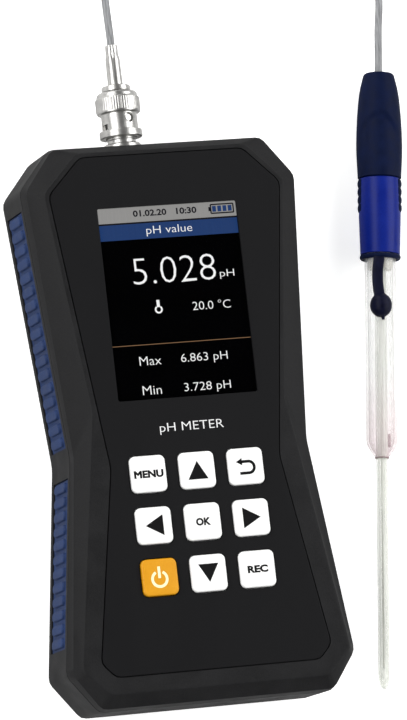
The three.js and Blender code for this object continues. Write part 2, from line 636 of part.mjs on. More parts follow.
function addSockets() {
  const probe = new THREE.Group();
  probe.position.set(PROBE_SOCKET.x, TOP_FACE, PROBE_SOCKET.z);
  add(probe, 'temperature_socket', probeSocket(), BLACK_PLASTIC);
  const bnc = new THREE.Group();
  bnc.position.set(BNC.x, TOP_FACE, BNC.z);
  add(bnc, 'bnc_jack', bncJack(), NICKEL);
  add(bnc, 'bnc_jack_nut', bncJackNut(), NICKEL);
  add(bnc, 'bnc_jack_insulator', bncJackInsulator(), WHITE_PLASTIC);
  add(bnc, 'bnc_jack_contact', bncJackContact(), GOLD);
  add(bnc, 'plug_body', plugBody(), NICKEL);
  add(bnc, 'plug_insulator', plugInsulator(), WHITE_PLASTIC);
  add(bnc, 'plug_pin', plugPin(), GOLD);
  add(bnc, 'crimp_ferrule', crimpFerrule(), NICKEL);
  add(bnc, 'bayonet_ring', bayonetRing(), NICKEL);
  meter.add(probe, bnc);
}

function addElectrode() {
  const electrode = new THREE.Group();
  electrode.position.set(ELECTRODE.x, ELECTRODE.y, ELECTRODE.z);
  electrode.rotation.z = THREE.MathUtils.degToRad(ELECTRODE.lean);
  electrode.updateMatrix();
  add(meter, 'cable', cable(electrode.matrix), CABLE_GREY);
  add(electrode, 'collar_ring', collarRing(), RUBBER_NAVY);
  add(electrode, 'glass_body', glassBody(), GLASS_CLEAR);
  add(electrode, 'inner_stem', innerStem(), GLASS_CLEAR);
  add(electrode, 'ph_bulb', phBulb(), GLASS_CLEAR);
  add(electrode, 'silver_wire', silverWire(), STEEL);
  add(electrode, 'seal_ring', sealRing(), CERAMIC);
  add(electrode, 'top_seal', topSeal(), SILICONE);
  add(electrode, 'junction_pin', junctionPin(), CERAMIC);
  const facing = new THREE.Group();
  facing.rotation.y = THREE.MathUtils.degToRad(ELECTRODE.frontTurn);
  add(facing, 'electrode_cap', electrodeCap(), RUBBER_NAVY);
  add(facing, 'electrode_sleeve', electrodeSleeve(), SLEEVE_BLUE);
  add(facing, 'sleeve_grip_right', sleeveGrip(1), RUBBER_NAVY);
  add(facing, 'sleeve_grip_left', sleeveGrip(-1), RUBBER_NAVY);
  add(facing, 'filler_stopper', fillerStopper(), RUBBER_NAVY);
  electrode.add(facing);
  meter.add(electrode);
}

addHousing();
addFront();
addInside();
addSockets();
addElectrode();

export default meter;
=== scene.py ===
import math

import bmesh
import bpy
from mathutils import Matrix, Vector


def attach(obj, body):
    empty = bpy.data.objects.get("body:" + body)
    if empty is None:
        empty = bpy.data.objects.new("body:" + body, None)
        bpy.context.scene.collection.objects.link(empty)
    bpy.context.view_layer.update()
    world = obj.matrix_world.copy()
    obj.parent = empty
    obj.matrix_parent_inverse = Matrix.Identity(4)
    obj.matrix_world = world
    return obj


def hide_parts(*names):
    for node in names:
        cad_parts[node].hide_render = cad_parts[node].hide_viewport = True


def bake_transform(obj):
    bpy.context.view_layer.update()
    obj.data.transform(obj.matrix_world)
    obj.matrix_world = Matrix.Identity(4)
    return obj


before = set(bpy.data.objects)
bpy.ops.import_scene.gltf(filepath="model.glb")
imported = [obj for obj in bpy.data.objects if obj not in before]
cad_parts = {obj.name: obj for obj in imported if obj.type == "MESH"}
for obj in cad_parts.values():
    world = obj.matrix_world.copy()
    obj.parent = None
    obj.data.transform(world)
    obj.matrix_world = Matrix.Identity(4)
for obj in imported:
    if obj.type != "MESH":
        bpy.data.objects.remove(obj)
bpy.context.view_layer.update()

MM = 0.001  # shapes are drawn in millimetres and scaled once

# Places and sizes shared with the CAD, in millimetres.
SOCKET_FACE = Vector((-6.7, 82.4, 16))  # where the connector's axis leaves the meter
ELECTRODE_TOP = Vector((78.65, 102.7, 7))  # cable end of the electrode, which points along -Y
ELECTRODE_LEAN = math.radians(-6.45)
FRONT_TURN = math.radians(-17)  # the electrode's front looks this far round from straight up
LCD_TOP = 31.0
KEY_TOP = 32.85
KEY_SIZE, KEY_CORNER = 10.7, 1.7
KEY_FLANGE, FLANGE_LEVELS = 13.0, (28.9, 29.6)
KEY_PITCH = (14.8, 15.05)
KEY_TOP_ROW = -15.4
PANEL_TOP = 32.0


def placed(at, *turns):
    """A frame at a point in millimetres, turned by (angle, axis) pairs in order."""
    matrix = Matrix.Translation(at * MM)
    for angle, axis in turns:
        matrix = matrix @ Matrix.Rotation(angle, 4, axis)
    return matrix


CONNECTOR = placed(SOCKET_FACE)
ELECTRODE = placed(ELECTRODE_TOP, (ELECTRODE_LEAN, "Z"))
ELECTRODE_FRONT = placed(ELECTRODE_TOP, (ELECTRODE_LEAN, "Z"), (FRONT_TURN, "Y"))


# ---------------------------------------------------------------- materials


def rgb(code):
    """A linear colour with alpha from an sRGB hex code."""
    parts = [int(code[i : i + 2], 16) / 255 for i in (1, 3, 5)]
    linear = [p / 12.92 if p <= 0.04045 else ((p + 0.055) / 1.055) ** 2.4 for p in parts]
    return (*linear, 1.0)


class Finish:
    """A procedural material: one Principled shader fed by patterns laid out in the piece's own space."""

    def __init__(self, name, **values):
        self.material = bpy.data.materials.new(name)
        self.material.use_nodes = True
        self.tree = self.material.node_tree
        self.shader = self.tree.nodes["Principled BSDF"]
        self.where = self.node("ShaderNodeTexCoord").outputs["Object"]
        for key, value in values.items():
            self.feed(self.shader.inputs[key.replace("_", " ")], value)

    def node(self, kind, inputs=None, **settings):
        node = self.tree.nodes.new(kind)
        for key, value in settings.items():
            setattr(node, key, value)
        for key, value in (inputs or {}).items():
            self.feed(node.inputs[key], value)
        return node

    def feed(self, socket, value):
        if isinstance(value, bpy.types.NodeSocket):
            self.tree.links.new(value, socket)
        else:
            socket.default_value = value

    def spread(self, size, stretch=(1, 1, 1)):
        """The piece's coordinates in units of `size` millimetres, each axis squeezed by `stretch`."""
        scale = [1 / (size * MM) / s if s else 0.0 for s in stretch]
        mapping = self.node("ShaderNodeMapping", {"Vector": self.where, "Scale": scale})
        return mapping.outputs["Vector"]

    def noise(self, size, detail=2, stretch=(1, 1, 1), warp=0.0):
        inputs = {"Vector": self.spread(size, stretch), "Scale": 1, "Detail": detail,
                  "Distortion": warp}
        return self.node("ShaderNodeTexNoise", inputs).outputs["Fac"]

    def cells(self, size, feature="F1"):
        inputs = {"Vector": self.spread(size), "Scale": 1}
        return self.node("ShaderNodeTexVoronoi", inputs, feature=feature).outputs["Distance"]

    def between(self, fac, low, high, start=0.3, stop=0.7):
        """Runs from low to high as the pattern runs from start to stop."""
        inputs = {"Value": fac, "From Min": start, "From Max": stop, "To Min": low, "To Max": high}
        return self.node("ShaderNodeMapRange", inputs).outputs["Result"]

    def math(self, operation, a, b=0.0):
        return self.node("ShaderNodeMath", {0: a, 1: b}, operation=operation).outputs[0]

    def axis(self, name):
        return self.node("ShaderNodeSeparateXYZ", {0: self.where}).outputs[name]

    def colour(self, fac, first, second):
        """A mix of two colours. The numbers are those of the node's colour sockets."""
        return self.node("ShaderNodeMix", {0: fac, 6: first, 7: second}, data_type="RGBA").outputs[2]

    def relief(self, *layers):
        """Stacks (pattern, height in millimetres) layers as bump."""
        normal = None
        for height, depth in layers:
            inputs = {"Height": height, "Distance": depth * MM, "Strength": 1.0}
            if normal is not None:
                inputs["Normal"] = normal
            normal = self.node("ShaderNodeBump", inputs).outputs["Normal"]
        self.feed(self.shader.inputs["Normal"], normal)


def moulded(name, dark, light, roughness, *, depth, grain=0.35, mottle=9, **values):
    """Moulded plastic or rubber: a fine spark-eroded grain and a faint, wide unevenness."""
    finish = Finish(name, **values)
    fine, wide = finish.noise(grain, 2), finish.noise(mottle, 3)
    shade = finish.math("ADD", finish.math("MULTIPLY", fine, 0.5), finish.math("MULTIPLY", wide, 0.5))
    finish.feed(finish.shader.inputs["Base Color"],
                finish.colour(finish.between(shade, 0, 1, 0.35, 0.65), rgb(dark), rgb(light)))
    low, high = roughness
    finish.feed(finish.shader.inputs["Roughness"], finish.between(wide, low, high))
    finish.relief((finish.cells(grain), depth), (fine, depth), (wide, depth))
    return finish.material


def lathed_metal(name, dark, light, roughness, lines=0.09, axis="Y"):
    """Turned metal: fine rings left by the tool around one axis, and slightly clouded plating."""
    finish = Finish(name, Metallic=1.0)
    stretch = tuple(1 if letter == axis else 0 for letter in "XYZ")
    rings = finish.noise(lines, 2, stretch)
    cloud = finish.noise(3, 4, warp=0.6)
    finish.feed(finish.shader.inputs["Base Color"],
                finish.colour(finish.between(cloud, 0, 1), rgb(dark), rgb(light)))
    low, high = roughness
    finish.feed(finish.shader.inputs["Roughness"], finish.between(rings, low, high))
    finish.relief((rings, 0.002), (cloud, 0.01))
    return finish.material


def see_through(name, shades, cover, roughness=0.05, tinge=None, **values):
    """Clear glass or plastic: `cover` is how much of its body shows, face on and at its edges.

    The body is streaked with two `shades`. `tinge` is (colour, start, stop): the body turns that
    colour between two places along Y.
    """
    finish = Finish(name, **values)
    drawn = finish.noise(0.5, 2, (1, 40, 1))
    body = finish.colour(finish.between(drawn, 0, 1), *map(rgb, shades))
    if tinge:
        colour, start, stop = tinge
        share = finish.between(finish.axis("Y"), 0, 1, start * MM, stop * MM)
        body = finish.colour(share, body, rgb(colour))
    finish.feed(finish.shader.inputs["Base Color"], body)
    finish.feed(finish.shader.inputs["Roughness"], finish.between(drawn, roughness, roughness * 2.5))
    facing = finish.node("ShaderNodeLayerWeight", {"Blend": 0.5}).outputs["Facing"]
    amount = finish.math("MULTIPLY", finish.between(facing, *cover, 0, 1), finish.between(drawn, 0.8, 1.2))
    lit = finish.math("SUBTRACT", 1.0, finish.node("ShaderNodeLightPath").outputs["Is Shadow Ray"])
    clear = finish.node("ShaderNodeBsdfTransparent", {"Color": (1, 1, 1, 1)}).outputs["BSDF"]
    mixed = finish.node("ShaderNodeMixShader", {0: finish.math("MULTIPLY", amount, lit), 1: clear,
                                                2: finish.shader.outputs["BSDF"]})
    finish.feed(finish.tree.nodes["Material Output"].inputs["Surface"], mixed.outputs[0])
    return finish.material


def backlit(name, code):
    """A lit part of the display, with its fine grid of dots."""
    finish = Finish(name, Roughness=0.35, Specular_IOR_Level=0.0)
    waves = math.tau / (DOT_PITCH * MM)
    row, column = (finish.math("SINE", finish.math("MULTIPLY", finish.axis(axis), waves))
                   for axis in ("Y", "X"))
    grid = finish.between(finish.math("MULTIPLY", row, column), 0.94, 1.0, -1, 1)
    colour = finish.colour(grid, (0, 0, 0, 1), rgb(code))
    finish.feed(finish.shader.inputs["Base Color"], (0.01, 0.01, 0.012, 1))
    finish.feed(finish.shader.inputs["Emission Color"], colour)
    finish.feed(finish.shader.inputs["Emission Strength"], 1.0)
    return finish.material


def printed_board():
    """Green solder mask with copper tracks showing through as darker lines."""
    finish = Finish("circuit_board", Coat_Weight=0.4, Coat_Roughness=0.2)
    track = finish.cells(2.2, "DISTANCE_TO_EDGE")
    line = finish.between(track, 1, 0, 0.04, 0.09)
    finish.feed(finish.shader.inputs["Base Color"],
                finish.colour(line, rgb("#1c5a38"), rgb("#3c8a54")))
    finish.feed(finish.shader.inputs["Roughness"], finish.between(finish.noise(1.5), 0.35, 0.5))
    finish.relief((line, 0.03))
    return finish.material


def brushed_plate():
    """Blank anodised plate brushed along X."""
    finish = Finish("brushed_plate", Metallic=0.85)
    brushed = finish.noise(0.12, 3, (60, 1, 1))
    finish.feed(finish.shader.inputs["Base Color"],
                finish.colour(finish.between(brushed, 0, 1), rgb("#9b9da0"), rgb("#c6c8ca")))
    finish.feed(finish.shader.inputs["Roughness"], finish.between(brushed, 0.3, 0.5))
    finish.relief((brushed, 0.006))
    return finish.material


def jacket():
    """Grey cable jacket with paler streaks drawn out along the cable, which runs mostly along Y."""
    finish = Finish("cable_jacket", Specular_IOR_Level=0.4)
    drawn = finish.noise(0.5, 3, (1, 12, 1), warp=0.3)
    finish.feed(finish.shader.inputs["Base Color"],
                finish.colour(finish.between(drawn, 0, 1), rgb("#737476"), rgb("#9b9c9e")))
    finish.feed(finish.shader.inputs["Roughness"], finish.between(finish.noise(4), 0.38, 0.5))
    finish.relief((drawn, 0.01))
    return finish.material


def overlay_film():
    """Charcoal polyester film printed on its back, with a fine velvet texture and soft smears."""
    finish = Finish("overlay_film", Specular_IOR_Level=0.12)
    velvet, smear = finish.noise(0.16, 2), finish.noise(14, 3, (1, 2.2, 1), warp=0.8)
    finish.feed(finish.shader.inputs["Base Color"],
                finish.colour(finish.between(velvet, 0, 1), rgb("#101011"), rgb("#151517")))
    finish.feed(finish.shader.inputs["Roughness"], finish.between(smear, 0.48, 0.62))
    finish.relief((velvet, 0.004))
    return finish.material


DOT_PITCH = 0.18  # of the display's dots, in millimetres

HOUSING = moulded("housing_abs", "#19191a", "#222223", (0.46, 0.6), grain=0.4, depth=0.016,
                  Specular_IOR_Level=0.12)
OVERLAY = overlay_film()
RUBBER_BLUE = moulded("grip_rubber", "#202f52", "#2a3d67", (0.5, 0.68), grain=0.3, depth=0.012, mottle=5,
                      Specular_IOR_Level=0.15)
KEY_WHITE = moulded("key_white", "#f2f2f0", "#fbfbfa", (0.4, 0.5), grain=0.2, depth=0.003, mottle=6)
KEY_ORANGE = moulded("key_orange", "#d08c0a", "#dc9b14", (0.4, 0.5), grain=0.2, depth=0.003, mottle=6,
                     Specular_IOR_Level=0.3)
INK = moulded("key_ink", "#0c0c0d", "#131314", (0.5, 0.6), grain=0.2, depth=0.001, mottle=4,
              Specular_IOR_Level=0.1)
CREAM = moulded("cream_ink", "#fff2b8", "#fff7cc", (0.5, 0.6), grain=0.2, depth=0.001, mottle=4)
CAPTION = moulded("caption_ink", "#dcdcdc", "#efefef", (0.5, 0.6), grain=0.2, depth=0.001, mottle=4)
SCREEN_BLACK = moulded("screen_black", "#010101", "#020203", (0.3, 0.4), grain=0.2, depth=0.001,
                       Specular_IOR_Level=0.0)
SILICONE = moulded("silicone", "#a9acaf", "#bbbec1", (0.55, 0.7), depth=0.008)
BATTERY_WRAP = moulded("battery_wrap", "#2c5a93", "#3568a5", (0.25, 0.4), grain=1.5, depth=0.03)
PTFE = moulded("ptfe", "#e6e6e0", "#f2f2ee", (0.35, 0.5), depth=0.004, Subsurface_Weight=0.1)
BLACK_PLASTIC = moulded("socket_black", "#121213", "#19191a", (0.4, 0.55), depth=0.008)
CAP_RUBBER = moulded("cap_rubber", "#040e29", "#091536", (0.5, 0.66), grain=0.28, depth=0.01, mottle=3,
                     Specular_IOR_Level=0.08)
STRAP_RUBBER = moulded("strap_rubber", "#03051a", "#080b2a", (0.4, 0.6), grain=0.7, depth=0.03, mottle=2,
                       Specular_IOR_Level=0.15)
SLEEVE_BLUE = moulded("sleeve_blue", "#071a70", "#0b227e", (0.3, 0.4), grain=0.5, depth=0.003, mottle=7,
                      Specular_IOR_Level=0.16)
CERAMIC = moulded("ceramic", "#7d6468", "#94797d", (0.6, 0.8), depth=0.008)
GEL = moulded("seal_resin", "#aca89c", "#bdb9ad", (0.4, 0.55), grain=0.8, depth=0.01, mottle=3)
NICKEL = lathed_metal("nickel", "#c6c5c2", "#dcdbd8", (0.26, 0.4))
STEEL = lathed_metal("steel", "#85878a", "#a0a2a4", (0.25, 0.4), axis="Z")
GOLD = lathed_metal("gold_plate", "#c9993a", "#dcb257", (0.2, 0.32))
SILVER = lathed_metal("silver", "#c4c3be", "#d8d7d2", (0.3, 0.45), lines=0.2)
CLEAR_WINDOW = see_through("window_clear", ("#020203", "#060607"), (0.03, 0.5), 0.04, IOR=1.3)
GLASS = see_through("electrode_glass", ("#bdbdb7", "#ffffff"), (0.2, 0.45),
                    tinge=("#dcc6c9", -90, -116))
STEM_GLASS = see_through("stem_glass", ("#c4c7bc", "#f4f6ee"), (0.32, 0.5), 0.1)
BUBBLE = see_through("bubble_glass", ("#f6f7f4", "#ffffff"), (0.3, 1.0), 0.05)
BOARD = printed_board()
PLATE = brushed_plate()
JACKET = jacket()
GLOW = {
    "bar": backlit("lit_grey", "#989795"),
    "title": backlit("lit_blue", "#1a3a6e"),
    "text": backlit("lit_white", "#ffffff"),
    "rule": backlit("lit_tan", "#8f6c4c"),
    "dark": backlit("lit_navy", "#05070d"),
}


# ---------------------------------------------------------------- shapes, in millimetres


def filleted(points, radius, steps, closed=True):
    """The polyline with each corner turned into a short curve, leaving corners on the axis alone."""
    out = []
    for i, point in enumerate(points):
        corner = Vector(point)
        ends = not closed and i in (0, len(points) - 1)
        if ends or corner.x == 0:
            out.append(tuple(corner))
            continue
        arms = []
        for other in (points[i - 1], points[(i + 1) % len(points)]):
            arm = Vector(other) - corner
            arms.append(corner + arm * min(0.45, radius / max(arm.length, 1e-6)))
        for k in range(steps + 1):
            t = k / steps
            out.append(tuple(arms[0].lerp(corner, t).lerp(corner.lerp(arms[1], t), t)))
    return out


def skin(rings, wrap_rings=False, lids=False):
    """A mesh over closed rings of equally many points."""
    bm = bmesh.new()
    rows = [[bm.verts.new(p) for p in ring] for ring in rings]
    pairs = list(zip(rows, rows[1:])) + ([(rows[-1], rows[0])] if wrap_rings else [])
    count = len(rows[0])
    for a, b in pairs:
        for j in range(count):
            k = (j + 1) % count
            bm.faces.new((a[j], a[k], b[k], b[j]))
    if lids:
        bm.faces.new(rows[0])
        bm.faces.new(rows[-1])
    return bm


def turned(profile, segments=64, ripple=None):
    """Turns a closed profile of (radius, y) about Y; ripple(radius, y, angle) may shift a radius."""
    rings = []
    for i in range(segments):
        angle = math.tau * i / segments
        radii = [r + ripple(r, y, angle) if ripple else r for r, y in profile]
        rings.append([(r * math.sin(angle), y, r * math.cos(angle))
                      for r, (_, y) in zip(radii, profile)])
    bm = skin(rings, wrap_rings=True)
    bmesh.ops.remove_doubles(bm, verts=bm.verts, dist=1e-5)
    return bm


def merged(*meshes):
    """Puts several bmeshes into the first."""
    first = meshes[0]
    for other in meshes[1:]:
        mesh = bpy.data.meshes.new("part")
        other.to_mesh(mesh)
        other.free()
        first.from_mesh(mesh)
        bpy.data.meshes.remove(mesh)
    return first


def moved(bm, matrix):
    bm.transform(matrix)
    return bm


def rounded_square(size, radius, steps=6):
    """Corner points of a square with rounded corners, anticlockwise."""
    reach = size / 2 - radius
    points = []
    for quarter, (right, up) in enumerate(((1, 1), (-1, 1), (-1, -1), (1, -1))):
        for i in range(steps + 1):
            angle = (quarter + i / steps) * math.pi / 2
            points.append(Vector((right * reach + radius * math.cos(angle),
                                  up * reach + radius * math.sin(angle))))
    return points


def prism(outline, low, high):
    rings = [[(x, y, z) for x, y in outline] for z in (low, high)]
    return skin(rings, lids=True)


def smooth(edge0, edge1, value):
    """Eases from 0 to 1 between two edges."""
    t = min(max((value - edge0) / (edge1 - edge0), 0), 1)
    return t * t * (3 - 2 * t)


def spline(points, steps):
    """A centripetal Catmull-Rom curve through the points, with `steps` samples to each span."""
    ends = [points[0] * 2 - points[1], *points, points[-1] * 2 - points[-2]]
    out = []
    for p0, p1, p2, p3 in zip(ends, ends[1:], ends[2:], ends[3:]):
        t1 = (p1 - p0).length ** 0.5
        t2 = t1 + (p2 - p1).length ** 0.5
        t3 = t2 + (p3 - p2).length ** 0.5
        for i in range(steps):
            t = t1 + (t2 - t1) * i / steps
            a1 = p0 * ((t1 - t) / t1) + p1 * (t / t1)
            a2 = p1 * ((t2 - t) / (t2 - t1)) + p2 * ((t - t1) / (t2 - t1))
            a3 = p2 * ((t3 - t) / (t3 - t2)) + p3 * ((t - t2) / (t3 - t2))
            b1 = a1 * ((t2 - t) / t2) + a2 * (t / t2)
            b2 = a2 * ((t3 - t) / (t3 - t1)) + a3 * ((t - t1) / (t3 - t1))
            out.append(b1 * ((t2 - t) / (t2 - t1)) + b2 * ((t - t1) / (t2 - t1)))
    return [*out, points[-1].copy()]


def swept(path, section):
    """A closed tube: section(share of the way) gives (across, up) points around each path point."""
    side = Vector((0, 0, 1))
    rings = []
    for i, point in enumerate(path):
        along = (path[min(i + 1, len(path) - 1)] - path[max(i - 1, 0)]).normalized()
        across = along.cross(side).normalized()
        side = across.cross(along)
        rings.append([point + across * u + side * v for u, v in section(i / (len(path) - 1))])
    return skin(rings, lids=True)


def circle(radius, segments):
    return [(radius * math.cos(math.tau * i / segments), radius * math.sin(math.tau * i / segments))
            for i in range(segments)]


# ---------------------------------------------------------------- pieces


def link(name, bm, finish, sharp=40):
    """An object from a bmesh drawn in millimetres, smooth apart from its sharp edges."""
    bmesh.ops.recalc_face_normals(bm, faces=bm.faces)
    bm.transform(Matrix.Scale(MM, 4))
    mesh = bpy.data.meshes.new(name)
    bm.to_mesh(mesh)
    bm.free()
    mesh.shade_smooth()
    mesh.set_sharp_from_angle(angle=math.radians(sharp))
    mesh.materials.append(finish)
    obj = bpy.data.objects.new(name, mesh)
    bpy.context.scene.collection.objects.link(obj)
    return obj


def piece(name, bm, finish, body, place=None, nodes=(), sharp=40):
    """A finished piece that rides on a body and may stand for CAD nodes."""
    obj = link(name, bm, finish, sharp)
    if place is not None:
        obj.matrix_world = place
    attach(obj, body)
    if nodes:
        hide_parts(*nodes)


def bake_modifiers(obj):
    """Swaps an object's mesh for what its modifiers make of it."""
    bpy.context.view_layer.update()
    shaped = obj.evaluated_get(bpy.context.evaluated_depsgraph_get())
    mesh = bpy.data.meshes.new_from_object(shaped)
    obj.modifiers.clear()
    obj.data = mesh


def carved(bm, *cutters):
    """The bmesh with each cutter taken out of it."""
    base = link("base", bm, HOUSING)
    tools = [link("tool", cutter, HOUSING) for cutter in cutters]
    for tool in tools:
        cut = base.modifiers.new("cut", "BOOLEAN")
        cut.object, cut.operation, cut.solver = tool, "DIFFERENCE", "EXACT"
    bake_modifiers(base)
    out = bmesh.new()
    out.from_mesh(base.data)
    out.transform(Matrix.Scale(1 / MM, 4))
    for obj in (base, *tools):
        bpy.data.objects.remove(obj)
    return out


def edge_smoothing(limit):
    """A node group that shades smooth across edges flatter than `limit` degrees."""
    group = bpy.data.node_groups.new("smooth_by_angle", "GeometryNodeTree")
    group.interface.new_socket("Geometry", in_out="INPUT", socket_type="NodeSocketGeometry")
    group.interface.new_socket("Geometry", in_out="OUTPUT", socket_type="NodeSocketGeometry")
    nodes, links = group.nodes, group.links
    start, end = nodes.new("NodeGroupInput"), nodes.new("NodeGroupOutput")
    angle = nodes.new("GeometryNodeInputMeshEdgeAngle")
    flat = nodes.new("FunctionNodeCompare")
    flat.data_type, flat.operation = "FLOAT", "LESS_EQUAL"
    flat.inputs[1].default_value = math.radians(limit)
    faces, edges = (nodes.new("GeometryNodeSetShadeSmooth") for _ in range(2))
    edges.domain = "EDGE"
    links.new(start.outputs[0], faces.inputs[0])
    links.new(faces.outputs[0], edges.inputs[0])
    links.new(angle.outputs["Unsigned Angle"], flat.inputs[0])
    links.new(flat.outputs[0], edges.inputs["Shade Smooth"])
    links.new(edges.outputs[0], end.inputs[0])
    return group


SMOOTHING = edge_smoothing(38)
WELD_GAP = 0.001  # millimetres between facet corners that count as one
BEVEL_FROM = math.radians(28)  # flatter edges stay as they are


def dress(node, finish, width, segments=2):
    """Gives a CAD node its material, joined facets, edges rounded to a width and smooth shading."""
    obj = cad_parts[node]
    obj.data.materials.clear()
    obj.data.materials.append(finish)
    obj.modifiers.new("weld", "WELD").merge_threshold = WELD_GAP * MM
    bevel = obj.modifiers.new("soft_edges", "BEVEL")
    bevel.width, bevel.segments = width * MM, segments
    bevel.limit_method, bevel.angle_limit = "ANGLE", BEVEL_FROM
    bevel.use_clamp_overlap = True
    bevel.miter_outer = "MITER_ARC"
    obj.modifiers.new("smooth_by_angle", "NODES").node_group = SMOOTHING
    obj.modifiers.new("flat_faces", "WEIGHTED_NORMAL").keep_sharp = True


def dress_cad_nodes():
    for name in ("rear_shell", "front_shell"):
        dress(name, HOUSING, 0.3, 3)
    dress("front_overlay", OVERLAY, 0.12, 2)
    dress("display_window", CLEAR_WINDOW, 0.06, 1)
    dress("lcd_module", SCREEN_BLACK, 0.1)
    dress("keypad_mat", SILICONE, 0.15)
    dress("main_board", BOARD, 0.05, 1)
    dress("battery_pack", BATTERY_WRAP, 1.2, 3)
    dress("rating_plate", PLATE, 0.08)
    dress("usb_socket", STEEL, 0.1)
    for i in range(1, 5):
        dress(f"case_screw_{i}", STEEL, 0.08)
    dress("temperature_socket", BLACK_PLASTIC, 0.12)
    dress("bnc_jack_nut", NICKEL, 0.15)
    dress("bnc_jack_insulator", PTFE, 0.05)
    dress("bnc_jack_contact", GOLD, 0.04, 1)
    dress("plug_insulator", PTFE, 0.05)
    dress("plug_pin", GOLD, 0.03, 1)


# ---------------------------------------------------------------- side grips

# Each strip: the CAD's node word, the housing corners it runs between, its start and its ribs.
SHOULDER, WAIST, HIP = (42.0, 70.6), (35.7, -8.5), (43.8, -71.1)
STRIPS = (("upper", SHOULDER, WAIST, 5.6, 17), ("lower", WAIST, HIP, 5.4, 12))
GRIP_HEIGHT, GRIP_MIDDLE, RIB_PITCH = 15.6, 15, 4.12
GRIP_ROOT, GRIP_FLOOR, RIB_TOP = -1.35, -0.55, 0.4
RIB_RADIUS, RIB_REACH = 1.4, 4.5  # a rib is a stadium: end radius, and half its straight length
# How far each loop of a rib stands out from its outline, and how high, from floor to top.
RIB_LOOPS = ((0.3, 0), (0.12, 0.05), (0.02, 0.16), (-0.03, 0.5), (-0.08, 0.78), (-0.22, 0.93),
             (-0.5, 1.0), (-1.0, 1.02))


def rib_outline():
    """Unit directions and centres round a rib, with matching points on its cell's edge."""
    half_width, half_height = RIB_PITCH / 2, GRIP_HEIGHT / 2
    corner = math.atan2(half_height - RIB_REACH, half_width)
    arc = [corner * i / 3 for i in range(4)] + [(corner + math.pi / 2) / 2, math.pi / 2]
    arc += [math.pi - a for a in reversed(arc[:-1])]
    stations = []
    for sign in (1, -1):
        for angle in arc:
            way = Vector((math.cos(angle), math.sin(angle)))
            stretch = min(half_width / max(abs(way.x), 1e-6),
                          (half_height - RIB_REACH) / max(way.y, 1e-6))
            edge = Vector((0, RIB_REACH)) + way * stretch
            stations.append((way * sign, Vector((0, RIB_REACH)) * sign, edge * sign))
        straight = [RIB_REACH * k for k in (0.6, 0.2, -0.2, -0.6)]
        for y in straight:
            way, centre = Vector((-1, 0)), Vector((0, y))
            edge = Vector((-half_width, y))
            stations.append((way * sign, centre * sign, edge * sign))
    return stations


def rib_cell(bm, along):
    """One rib and the patch of floor round it."""
    stations = rib_outline()
    rows = [[(along + edge.x, edge.y, GRIP_FLOOR) for _, _, edge in stations]]
    for grow, rise in RIB_LOOPS:
        height = GRIP_FLOOR + (RIB_TOP - GRIP_FLOOR) * rise
        points = [centre + way * (RIB_RADIUS + grow) for way, centre, _ in stations]
        rows.append([(along + p.x, p.y, height) for p in points])
    cell = skin(rows)
    cell.faces.new(list(cell.verts)[-len(stations):])
    return merged(bm, cell)


def grip_pad(ribs):
    """A strip of ribs on a shallow rubber base, X down the side and Z outwards."""
    bm = bmesh.new()
    length = ribs * RIB_PITCH
    for i in range(ribs):
        rib_cell(bm, (i + 0.5) * RIB_PITCH - length / 2)
    bmesh.ops.remove_doubles(bm, verts=bm.verts, dist=1e-3)
    border = [edge for edge in bm.edges if edge.is_boundary]
    skirt = bmesh.ops.extrude_edge_only(bm, edges=border)["geom"]
    low = [v for v in skirt if isinstance(v, bmesh.types.BMVert)]
    bmesh.ops.translate(bm, verts=low, vec=(0, 0, GRIP_ROOT - GRIP_FLOOR))
    bmesh.ops.holes_fill(bm, edges=[edge for edge in bm.edges if edge.is_boundary])
    return bm, length


def add_grips():
    for word, side in (("right", 1), ("left", -1)):
        for part, top, bottom, start, ribs in STRIPS:
            bm, length = grip_pad(ribs)
            first, last = (Vector((side * x, y, GRIP_MIDDLE)) for x, y in (top, bottom))
            down = (last - first).normalized()
            outwards = Vector((-side * down.y, side * down.x, 0))
            across = outwards.cross(down)
            turn = Matrix((down, across, outwards)).transposed().to_4x4()
            middle = first + down * (start + length / 2)
            node = f"{word}_grip_{part}"
            piece(f"{node}_rubber", moved(bm, Matrix.Translation(middle) @ turn), RUBBER_BLUE,
                  "meter", nodes=[node], sharp=50)


# ---------------------------------------------------------------- keys and lettering

KEY_ROWS = (("menu", "up", "back"), ("left", "ok", "right"), ("power", "down", "record"))
KEY_EDGE = 0.55  # radius of a key's top edge
KEY_WORDS = {"menu": ("MENU", 8.9, 2.25), "ok": ("OK", 4.5, 2.3), "record": ("REC", 6.2, 2.2)}
ARROW_TURNS = {"up": 0, "left": 90, "down": 180, "right": -90}
PRINT = 0.02  # thickness of a printed or moulded-in mark
STROKE = 0.85


def key_cap():
    """A key with a soft rounded edge and the hidden flange under the panel."""
    flange = rounded_square(KEY_FLANGE, KEY_CORNER)
    rings = [[(p.x, p.y, z) for p in flange] for z in FLANGE_LEVELS]
    rings.append([(p.x, p.y, FLANGE_LEVELS[1]) for p in rounded_square(KEY_SIZE, KEY_CORNER)])
    for i in range(7):
        turn = i / 6 * math.pi / 2
        inset, rise = KEY_EDGE * (1 - math.cos(turn)), KEY_EDGE * math.sin(turn)
        loop = rounded_square(KEY_SIZE - 2 * inset, KEY_CORNER - inset * 0.6)
        rings.append([(p.x, p.y, KEY_TOP - KEY_EDGE + rise) for p in loop])
    return skin(rings, lids=True)


